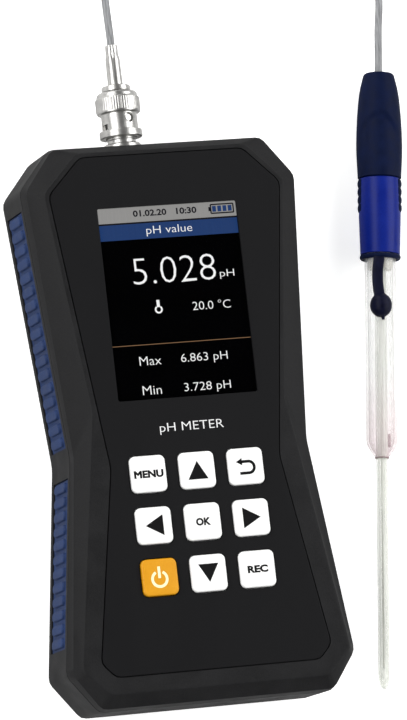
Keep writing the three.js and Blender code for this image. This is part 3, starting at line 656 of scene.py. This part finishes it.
def lettering(text, width, height, middle, level, weight=-0.01):
    """Text as a thin slab of the given size, centred on `middle`, thinned or thickened by `weight`."""
    curve = bpy.data.curves.new("text", "FONT")
    curve.body, curve.extrude, curve.resolution_u = text, 0.01, 3
    curve.offset, curve.bevel_depth = min(weight, 0), max(weight, 0)
    source = bpy.data.objects.new("text", curve)
    bpy.context.scene.collection.objects.link(source)
    bpy.context.view_layer.update()
    mesh = bpy.data.meshes.new_from_object(source.evaluated_get(
        bpy.context.evaluated_depsgraph_get()))
    bpy.data.objects.remove(source)
    bm = bmesh.new()
    bm.from_mesh(mesh)
    bpy.data.meshes.remove(mesh)
    bmesh.ops.remove_doubles(bm, verts=bm.verts, dist=1e-5)
    low = [min(v.co[k] for v in bm.verts) for k in range(3)]
    high = [max(v.co[k] for v in bm.verts) for k in range(3)]
    size = (width, height, PRINT)
    for v in bm.verts:
        share = [(v.co[k] - low[k]) / (high[k] - low[k]) for k in range(3)]
        v.co = (middle[0] + (share[0] - 0.5) * size[0], middle[1] + (share[1] - 0.5) * size[1],
                level + share[2] * size[2])
    return bm


def flat_shape(outline, level):
    return prism(outline, level, level + PRINT)


def stroke(path, width, level):
    """A flat line of even width along a path, with square ends."""
    left, right = [], []
    for i, point in enumerate(path):
        along = (path[min(i + 1, len(path) - 1)] - path[max(i - 1, 0)]).normalized()
        side = Vector((-along.y, along.x)) * width / 2
        left.append(point + side)
        right.append(point - side)
    rings = [[(*a, level), (*b, level), (*b, level + PRINT), (*a, level + PRINT)]
             for a, b in zip(left, right)]
    return skin(rings, lids=True)


def arc(centre, radius, start, stop, steps=28):
    return [Vector(centre) + Vector((math.cos(a), math.sin(a))) * radius
            for a in (math.radians(start + (stop - start) * i / steps) for i in range(steps + 1))]


def arrow(turn):
    """A solid triangle pointing up, turned anticlockwise by `turn` degrees."""
    spin = Matrix.Rotation(math.radians(turn), 2)
    return flat_shape([spin @ Vector(p) for p in ((0, 2.65), (-3.05, -2.7), (3.05, -2.7))], KEY_TOP)


def back_arrow():
    line = [Vector((-1.3, 1.35)), Vector((-0.4, 1.35)), Vector((0.6, 1.35))]
    line += arc((0.75, -0.35), 1.7, 90, -90) + [Vector((-0.6, -2.05)), Vector((-2.0, -2.05))]
    head = flat_shape([Vector(p) for p in ((-3.0, 1.35), (-1.15, 0.3), (-1.15, 2.4))], KEY_TOP)
    return merged(stroke(line, STROKE, KEY_TOP), head)


def power_mark():
    ring = stroke(arc((-0.2, -0.55), 2.2, 118, 422, 40), 0.8, KEY_TOP)
    bar = stroke([Vector((-0.2, -0.3)), Vector((-0.2, 3.1))], 0.8, KEY_TOP)
    return merged(ring, bar)


def key_mark(name):
    if name in KEY_WORDS:
        text, width, height = KEY_WORDS[name]
        return lettering(text, width, height, (0, -0.05), KEY_TOP, weight=0.05)
    if name == "back":
        return back_arrow()
    if name == "power":
        return power_mark()
    return arrow(ARROW_TURNS[name])


def add_keys():
    for r, row in enumerate(KEY_ROWS):
        for c, name in enumerate(row):
            middle = Vector(((c - 1) * KEY_PITCH[0], KEY_TOP_ROW - r * KEY_PITCH[1], 0))
            cap, ink, slot = KEY_WHITE, INK, "key_white"
            if name == "power":
                cap, ink, slot = KEY_ORANGE, CREAM, "key_orange"
            body, place = f"{name}_key", placed(middle)
            piece(f"{name}_key_cap", key_cap(), cap, body, place, [f"key_{name}"], 60)
            piece(f"{name}_key_mark", key_mark(name), ink, body, place)


def add_caption():
    bm = lettering("pH METER", 19.4, 3.3, (0, -2.6), PANEL_TOP)
    piece("panel_caption", bm, CAPTION, "meter")


# ---------------------------------------------------------------- display

IMAGE = LCD_TOP + 0.03
SCREEN_HALF = 21.2


def bar(low, high, left=-SCREEN_HALF, right=SCREEN_HALF, level=IMAGE):
    return flat_shape([Vector(p) for p in ((left, low), (right, low), (right, high), (left, high))],
                      level)


def shown(name, bm, glow):
    piece(f"display_{name}", bm, GLOW[glow], "meter")


def battery_case(level):
    """Outline and terminal of the battery in the status bar."""
    line = [Vector(p) for p in ((13.5, 59.7), (20.4, 59.7), (20.4, 62.3), (13.5, 62.3))]
    sides = [stroke([a, b], 0.4, level) for a, b in zip(line, line[1:] + line[:1])]
    return merged(*sides, bar(60.4, 61.6, 12.8, 13.5, level))


def thermometer_mark(level):
    bulb = stroke(arc((-5.7, 32.5), 0.95, 125, 415, 28), 0.5, level)
    stem = stroke([Vector((-5.7, 33.2)), Vector((-5.7, 35.3))], 0.9, level)
    return merged(bulb, stem)


def add_display():
    over = IMAGE + 2 * PRINT
    shown("status_bar", bar(58.6, 63.1), "bar")
    shown("gap_line", bar(58.1, 58.6), "dark")
    shown("title_bar", bar(53.5, 58.1), "title")
    shown("rule", bar(22.36, 22.54), "rule")
    date = lettering("01.02.20", 10.2, 1.9, (-5.2, 61.1), over, weight=0.03)
    hour = lettering("10:30", 6.2, 1.9, (6.0, 61.1), over, weight=0.03)
    shown("clock", merged(date, hour), "dark")
    shown("battery", battery_case(over), "dark")
    charge = [bar(60.15, 61.85, 13.95 + 1.6 * i, 15.1 + 1.6 * i, over) for i in range(4)]
    shown("charge", merged(*charge), "title")
    shown("title", lettering("pH value", 14.0, 3.0, (0.2, 55.65), over), "text")
    shown("reading", lettering("5.028", 25.2, 7.8, (0.3, 44.0), over, weight=-0.018), "text")
    shown("unit", lettering("pH", 4.4, 2.75, (16.25, 41.55), over), "text")
    shown("thermometer", thermometer_mark(over), "text")
    shown("temperature", lettering("20.0 °C", 11.6, 2.55, (10.45, 32.85), over), "text")
    rows = (("highest", "Max", 6.6, "6.863 pH", 17.7), ("lowest", "Min", 5.75, "3.728 pH", 9.1))
    for name, word, width, value, y in rows:
        label = lettering(word, width, 2.6, (-13.3 + width / 2, y), over)
        number = lettering(value, 14.2, 3.2, (6.45, y - 0.3), over)
        shown(name, merged(label, number), "text")


# ---------------------------------------------------------------- connector

LUG_TURN, LUG_Y, LUG_BACK, LUG_HALF = 18, 9.2, 2.6, 1.25  # degrees, then millimetres
SLOT_SHORT = 0.03  # how far the slots end inside the channel, so that no two cuts share a face
RING_TEETH, TOOTH_DEPTH = 56, 0.16


def radial(bm, degrees):
    return moved(bm, Matrix.Rotation(math.radians(degrees), 4, "Y"))


def round_bar(radius, low, high, y):
    """A rod along Z that crosses the connector's or electrode's axis line at `y`."""
    return moved(prism(circle(radius, 32), low, high), Matrix.Translation((0, y, 0)))


def block(width, depth, height, middle):
    bm = bmesh.new()
    bmesh.ops.create_cube(bm, size=1)
    return moved(bm, Matrix.Translation(middle) @ Matrix.Diagonal((width, depth, height, 1)))


def lug_channel(turn):
    """The level-sided inner guide that climbs as the ring turns."""
    rings = []
    for i in range(19):
        share = i / 18
        angle, y = math.radians(turn - 90 * share), LUG_Y - LUG_BACK * share
        rings.append([(r * math.sin(angle), y + rise * LUG_HALF, r * math.cos(angle))
                      for r, rise in ((4.3, -1), (5.05, -1), (5.05, 1), (4.3, 1))])
    return skin(rings, lids=True)


def lug_way(turn):
    """Cutters that let one lug in: channel, slot, entry under the flange and detent hole."""
    end = LUG_Y - LUG_BACK + LUG_HALF - SLOT_SHORT

    def slot(start, height, middle):
        return radial(block(2 * LUG_HALF, end - start, height, (0, (end + start) / 2, middle)), turn - 90)

    return [lug_channel(turn), slot(3, 1.4, 4.37), slot(6.2, 3, 5.6),
            radial(round_bar(1.5, 4.1, 7.1, LUG_Y), turn)]


def knurl(radius, y, angle):
    """Straight fine teeth on the grip of the ring."""
    if radius < 6.3 or not 11.7 < y < 15.5:
        return 0
    wave = abs((angle * RING_TEETH / math.tau) % 1 - 0.5) * 2
    return TOOTH_DEPTH * (wave - 0.5)


def ring_profile():
    blank = [(4.6, 3.7), (6.1, 3.7), (6.3, 3.9), (6.3, 5.8), (6.1, 6), (5.3, 6), (5.3, 11),
             (6.25, 11), (6.5, 11.6), (6.5, 15.6), (6.1, 15.9), (6, 16.8), (5.5, 17.4), (4.2, 17.4),
             (4.2, 14.2), (5.35, 14.2), (5.35, 12.1), (4.6, 12.1)]
    return filleted(blank, 0.22, 3)


def crimp(radius, y, angle):
    """A fold down the front and the back of the ferrule's narrow end, ending in a dimple."""
    if radius < 1.6:
        return 0
    off = (angle - FRONT_TURN + math.pi / 2) % math.pi - math.pi / 2
    fold = math.exp(-(off / 0.16) ** 2) * smooth(26.5, 28.5, y)
    dimple = math.exp(-(off / 0.35) ** 2 - ((y - 29.2) / 0.7) ** 2)
    return -0.18 * fold - 0.2 * dimple


def add_connector():
    jack = turned(filleted([
        (2.4, -9), (4.7, -9), (4.7, 0.1), (5.6, 0.1), (5.6, 1.5), (5.2, 1.9), (4.15, 1.9), (4.15, 3),
        (4.3, 3.2), (4.3, 11.4), (4.1, 11.8), (3.75, 11.8), (3.75, 3.6), (2.4, 3.6)], 0.15, 3), 96)
    lugs = [radial(round_bar(0.95, 3.8, 4.8, LUG_Y), LUG_TURN + half) for half in (0, 180)]
    piece("bnc_jack_shell", merged(jack, *lugs), NICKEL, "meter", CONNECTOR, ["bnc_jack"])
    ring = turned(ring_profile(), RING_TEETH * 4, knurl)
    ring = carved(ring, *lug_way(LUG_TURN), *lug_way(LUG_TURN + 180))
    piece("bayonet_ring_shell", ring, NICKEL, "ring", CONNECTOR, ["bayonet_ring"], 30)
    body = turned(filleted([
        (2.75, 5), (3.4, 5), (3.4, 12.4), (5, 12.4), (5, 13.9), (3.9, 13.9), (3.9, 17.7),
        (4.27, 17.8), (4.27, 19.2), (4, 19.4), (1.75, 19.4), (1.75, 24.8), (1.35, 24.8), (1.35, 19.3),
        (2.2, 18.7), (2.2, 12.3), (2.75, 11.9)], 0.2, 3), 80)
    piece("plug_body_shell", body, NICKEL, "plug", CONNECTOR, ["plug_body"])
    ferrule = turned(filleted([
        (1.95, 19.7), (2.25, 19.7), (2.15, 27.6), (1.85, 28.8), (1.85, 29.6), (1.85, 30.6), (1.85, 31.7),
        (1.45, 31.7), (1.45, 29), (1.95, 27.4)], 0.25, 4), 144, crimp)
    piece("crimp_ferrule_shell", ferrule, NICKEL, "plug", CONNECTOR, ["crimp_ferrule"])


# ---------------------------------------------------------------- cable

CABLE_RADIUS = 1.15


def on_electrode(station):
    """A point in millimetres on the electrode's axis, `station` beyond its cable end."""
    return (ELECTRODE @ Vector((0, station * MM, 0))) / MM


def add_cable():
    leave = SOCKET_FACE
    points = [leave + Vector((0, y, z)) for y, z in ((20, 0), (34, 0), (48, -0.6))]
    points += [Vector(p) for p in ((-4.5, 146, 11.5), (5, 165, 5.2), (22, 177.5, 2), (44, 179, 1.5),
                                   (65, 169, 1.7), (78.5, 150, 3))]
    points += [on_electrode(station) for station in (26, 12, -6.5)]
    bm = swept(spline(points, 14), lambda share: circle(CABLE_RADIUS, 24))
    cable = link("cable_jacket", bm, JACKET)
    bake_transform(cable)
    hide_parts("cable")


# ---------------------------------------------------------------- electrode

# Stations along the electrode, from its cable end.
CAP_END, SLEEVE_END, RING_END, TAPER, SEAL, STEM_END, TIP = 32.3, 55.6, 57.1, 111.8, 116.6, 180.7, 186.1
GLASS_TOP = 49
TUBE_RADIUS, TUBE_WALL, STEM_RADIUS, STEM_WALL = 4.7, 0.8, 1.75, 0.55
HOLE_AT, HOLE_RADIUS, STOPPER_RADIUS = 71.65, 1.75, 3.3
STRAP_CLEAR = 0.3  # between the tube and the strap's underside


def thumb_scoop(radius, y, angle):
    """A shallow arch-topped hollow on the front of the cap, fading out down the cap."""
    across = radius * math.sin(angle)
    if radius < 4.5 or math.cos(angle) <= 0:
        return 0
    below_arch = smooth(0, 2.4, -y - 12 - 0.16 * across * across)
    fade = 1 - smooth(18, 30, -y)
    sides = 1 - smooth(4.4, 6.2, abs(across))
    return -0.7 * below_arch * fade * sides


def cap_profile():
    flank = [Vector(p) for p in ((4.7, -0.9), (5.8, -5.8), (6.55, -13), (6.92, -23), (6.55, 0.2 - CAP_END))]
    curve = [(p.x, p.y) for p in spline(flank, 18)]
    top = filleted([(1.45, -0.4), (1.8, 0), (3.3, 0), (4.3, -0.25), curve[0]], 0.5, 4, closed=False)
    end = filleted([curve[-1], (6.35, -CAP_END), (4.2, -CAP_END), (4.2, -9), (1.45, -8)], 0.2, 2,
                   closed=False)
    return [*top[:-1], *curve, *end[1:]]


def side_ribs(side):
    """A pad of four soft ribs wrapped round one side of the sleeve."""
    reach, ribs, length, root = math.radians(27), 4, 9.9, 5.6
    rings = []
    for j in range(65):
        share = j / 64
        y = -CAP_END - 0.4 - share * length
        lobe = abs(math.sin(math.pi * ribs * share)) ** 0.55
        outer = []
        for i in range(25):
            angle = reach * (i / 12 - 1)
            edge = math.sqrt(max(0.0, 1 - (angle / reach) ** 4))
            radius = 6.1 + (0.15 + 0.4 * lobe) * edge
            outer.append((side * radius * math.cos(angle), y, radius * math.sin(angle)))
        inner = [(side * root * math.cos(a), y, root * math.sin(a)) for a in (reach, -reach)]
        rings.append(outer + inner)
    return skin(rings, lids=True)


def glass_tube():
    inner = TUBE_RADIUS - TUBE_WALL
    profile = filleted([
        (inner, -GLASS_TOP), (TUBE_RADIUS, -GLASS_TOP), (TUBE_RADIUS, -TAPER), (4.4, -TAPER - 1.3),
        (3.6, -TAPER - 2.9), (2.2, -SEAL), (1.95, -SEAL), (1.95, 0.8 - SEAL), (3, -TAPER - 2.6),
        (inner, -TAPER - 0.3)], 0.7, 4)
    hole = radial(round_bar(HOLE_RADIUS, 2.7, 6.7, -HOLE_AT), math.degrees(FRONT_TURN))
    return carved(turned(profile, 72), hole)


def bulb():
    """The thin pH-sensitive dome on the stem's end."""
    root, length, wall = -STEM_END - 0.05, TIP - STEM_END, 0.4

    def dome(radius, length):
        return [(radius * math.cos(a), root - length * math.sin(a))
                for a in (math.pi / 2 * i / 12 for i in range(12))] + [(0, root - length)]

    return turned(dome(STEM_RADIUS, length) + dome(STEM_RADIUS - wall, length - wall)[::-1], 48)


def electrode_piece(name, bm, finish, nodes, place=ELECTRODE, sharp=40):
    piece(name, bm, finish, "electrode", place, nodes, sharp)


def add_handle():
    electrode_piece("cap_rubber", turned(cap_profile(), 128, thumb_scoop), CAP_RUBBER,
                    ["electrode_cap"], ELECTRODE_FRONT)
    sleeve = turned(filleted([
        (2.6, -20), (3.9, -20), (3.9, -CAP_END - 0.1), (6, -CAP_END - 0.1), (6.15, -CAP_END - 0.3),
        (6.3, -CAP_END - 11.5), (5.95, 0.1 - SLEEVE_END), (4.95, 0.1 - SLEEVE_END), (4.95, 0.2 - GLASS_TOP),
        (2.6, 0.2 - GLASS_TOP)], 0.3, 4), 96)
    electrode_piece("sleeve_shell", sleeve, SLEEVE_BLUE, ["electrode_sleeve"])
    for word, side in (("right", 1), ("left", -1)):
        electrode_piece(f"sleeve_ribs_{word}", side_ribs(side), CAP_RUBBER,
                        [f"sleeve_grip_{word}"], ELECTRODE_FRONT, 60)
    collar = turned(filleted([
        (4.95, -RING_END), (5.7, -RING_END), (6.15, 0.5 - RING_END), (6.15, -SLEEVE_END - 0.4),
        (5.9, -SLEEVE_END - 0.1), (4.95, -SLEEVE_END - 0.1)], 0.4, 4), 96)
    electrode_piece("collar_bead", collar, CAP_RUBBER, ["collar_ring"])


def ring_of(inner, outer, low, high, fillet=0.1):
    return turned(filleted([(inner, low), (outer, low), (outer, high), (inner, high)], fillet, 3))


def rod(radius, low, high, segments=24):
    return turned(filleted([(0, low), (radius, low), (radius, high), (0, high)], radius * 0.5, 3), segments)


def add_glass():
    electrode_piece("glass_tube", glass_tube(), GLASS, ["glass_body"], sharp=50)
    stem = ring_of(STEM_RADIUS - STEM_WALL, STEM_RADIUS, -STEM_END, 3 - GLASS_TOP)
    electrode_piece("glass_stem", stem, STEM_GLASS, ["inner_stem"])
    electrode_piece("sensing_dome", bulb(), STEM_GLASS, ["ph_bulb"])
    bubble = bmesh.new()
    bmesh.ops.create_uvsphere(bubble, u_segments=24, v_segments=16, radius=0.95)
    moved(bubble, Matrix.Translation((0.1, -STEM_END - 1.6, 0)))
    electrode_piece("dome_bubble", bubble, BUBBLE, [])
    electrode_piece("silver_lead", rod(0.32, 6.3 - TIP, -CAP_END - 4), SILVER, ["silver_wire"])
    electrode_piece("stem_seal", ring_of(1.85, 2.15, -SEAL - 0.45, -SEAL - 0.1, 0.05), CERAMIC,
                    ["seal_ring"])
    electrode_piece("resin_seal", ring_of(1.95, 3.7, -RING_END - 3, -GLASS_TOP - 0.5, 0.5), GEL,
                    ["top_seal"])
    pin = moved(rod(0.45, -TAPER - 1.8, 2.2 - TAPER), Matrix.Translation((2.35, 0, 0)))
    electrode_piece("junction_plug", pin, CERAMIC, ["junction_pin"])


def stopper_shape():
    """Strap, ball, nub and pin, blended into one moulding by a fine remesh."""
    clear = TUBE_RADIUS + STRAP_CLEAR
    ball = bmesh.new()
    bmesh.ops.create_uvsphere(ball, u_segments=40, v_segments=24, radius=STOPPER_RADIUS)
    moved(ball, Matrix.Translation((0, -HOLE_AT, clear + 0.4)) @ Matrix.Diagonal((1, 1.12, 1, 1)))
    nub = moved(rod(0.5, -0.6, 0.6), Matrix.Translation((0.6, -HOLE_AT - 3.8, clear + 0.6)))
    pin = round_bar(1.4, clear - 1.6, clear + 0.8, -HOLE_AT)
    ways = ((-0.4, 0.6), (-0.5, -0.55), (-0.95, -4.5), (-0.75, -9.5), (0, RING_END + 1 - HOLE_AT))
    lifts = (0.4, 0.5, 0.6, 0.8, 1)
    spine = [Vector((x, y - RING_END, clear + lift)) for (x, y), lift in zip(ways, lifts)]
    strap = swept(spline(spine, 10), lambda share: [
        (p.x * 3.3, p.y * 0.9) for p in rounded_square(1, 0.35, 4)])
    tube = rod(clear, -HOLE_AT - 6, -HOLE_AT + 6, 96)
    body = link("stopper", merged(carved(ball, tube), nub, pin, strap), STRAP_RUBBER)
    blend = body.modifiers.new("blend", "REMESH")
    blend.mode, blend.voxel_size = "VOXEL", 0.16 * MM
    ease = body.modifiers.new("ease", "SMOOTH")
    ease.factor, ease.iterations = 0.5, 4
    bake_modifiers(body)
    return body


def add_stopper():
    body = stopper_shape()
    body.data.shade_smooth()
    body.name = "stopper_and_strap"
    body.data.transform(ELECTRODE_FRONT)
    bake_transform(body)
    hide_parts("filler_stopper")


# ---------------------------------------------------------------- camera, light and floor

LOOK_AT = Vector((0.0108, 0.0187, 0.016))
CAMERA_DISTANCE = 1.6074
CAMERA_BACK = Vector((-0.2956, -0.1236, 0.9473)).normalized()
CAMERA_ROLL = math.radians(6.47)
CAMERA_LENS, SENSOR_WIDTH = 273.28, 36

# A softbox to the left and right and a small rim lamp over a pale floor, in an otherwise dim room.
AMBIENT, AMBIENT_MIRRORED = 0.3, 0.07  # the room's light, and how bright it looks in reflections
FLOOR_LIFT = 0.55  # extra brightness of the floor to the camera alone, which keeps its shadows faint
SOFTBOX_TILT = math.radians(51)  # from straight up
SOFTBOX_DISTANCE, SOFTBOX_SHIFT = 1.3, 0.1  # the shift is along Y, in distances
SOFTBOX_SIZE = (2.2, 0.9)
SOFTBOX_POWER = 19
RIM_LAMP, RIM_SIZE, RIM_POWER = (-0.6, 1.3, 0.42), (0.6, 0.6), 5  # low, behind the top left corner
LAMP_AIM = Vector((0.01, 0.02, 0))
FLOOR_REACH = 4000  # millimetres from the middle to each side


def add_camera():
    camera = bpy.data.cameras.new("camera")
    camera.lens, camera.sensor_width, camera.sensor_fit = CAMERA_LENS, SENSOR_WIDTH, "AUTO"
    camera.clip_start, camera.clip_end = 0.05, 20
    obj = bpy.data.objects.new("camera", camera)
    bpy.context.scene.collection.objects.link(obj)
    right = Vector((0, 1, 0)).cross(CAMERA_BACK).normalized()
    up = CAMERA_BACK.cross(right)
    turn = Matrix.Rotation(-CAMERA_ROLL, 3, CAMERA_BACK)
    axes = Matrix((turn @ right, turn @ up, CAMERA_BACK)).transposed()
    obj.matrix_world = Matrix.Translation(LOOK_AT + CAMERA_BACK * CAMERA_DISTANCE) @ axes.to_4x4()
    bpy.context.scene.camera = obj


def add_lamp(name, where, size, power):
    lamp = bpy.data.lights.new(name, "AREA")
    lamp.shape, lamp.size, lamp.size_y, lamp.energy = "RECTANGLE", *size, power
    obj = bpy.data.objects.new(name, lamp)
    bpy.context.scene.collection.objects.link(obj)
    obj.location = where
    obj.rotation_euler = (LAMP_AIM - Vector(where)).to_track_quat("-Z", "Y").to_euler()


def add_floor():
    finish = Finish("floor_paper", Roughness=0.9)
    seen = finish.node("ShaderNodeLightPath").outputs
    paper = finish.colour(finish.noise(40, 3), rgb("#f4f4f3"), rgb("#f7f7f6"))
    finish.feed(finish.shader.inputs["Base Color"],
                finish.colour(seen["Is Glossy Ray"], paper, rgb("#d6d6d6")))
    finish.feed(finish.shader.inputs["Emission Color"], (1, 1, 1, 1))
    finish.feed(finish.shader.inputs["Emission Strength"],
                finish.math("MULTIPLY", seen["Is Camera Ray"], FLOOR_LIFT))
    bm = bmesh.new()
    bmesh.ops.create_grid(bm, x_segments=1, y_segments=1, size=FLOOR_REACH)
    link("floor", bm, finish.material)


def add_room():
    world = bpy.data.worlds.new("studio")
    world.use_nodes = True
    nodes, links = world.node_tree.nodes, world.node_tree.links
    strength = nodes.new("ShaderNodeMapRange")
    strength.inputs["To Min"].default_value = AMBIENT
    strength.inputs["To Max"].default_value = AMBIENT_MIRRORED
    links.new(nodes.new("ShaderNodeLightPath").outputs["Is Glossy Ray"], strength.inputs["Value"])
    links.new(strength.outputs["Result"], nodes["Background"].inputs["Strength"])
    nodes["Background"].inputs["Color"].default_value = (1, 1, 1, 1)
    bpy.context.scene.world = world


def add_stage():
    add_floor()
    add_room()
    for name, side in (("left_softbox", -1), ("right_softbox", 1)):
        way = Vector((side * math.sin(SOFTBOX_TILT), SOFTBOX_SHIFT, math.cos(SOFTBOX_TILT)))
        add_lamp(name, way * SOFTBOX_DISTANCE, SOFTBOX_SIZE, SOFTBOX_POWER)
    add_lamp("rim_lamp", RIM_LAMP, RIM_SIZE, RIM_POWER)
    bpy.context.scene.view_settings.view_transform = "Standard"


dress_cad_nodes()
add_grips()
add_keys()
add_caption()
add_display()
add_connector()
add_cable()
add_handle()
add_glass()
add_stopper()
add_camera()
add_stage()
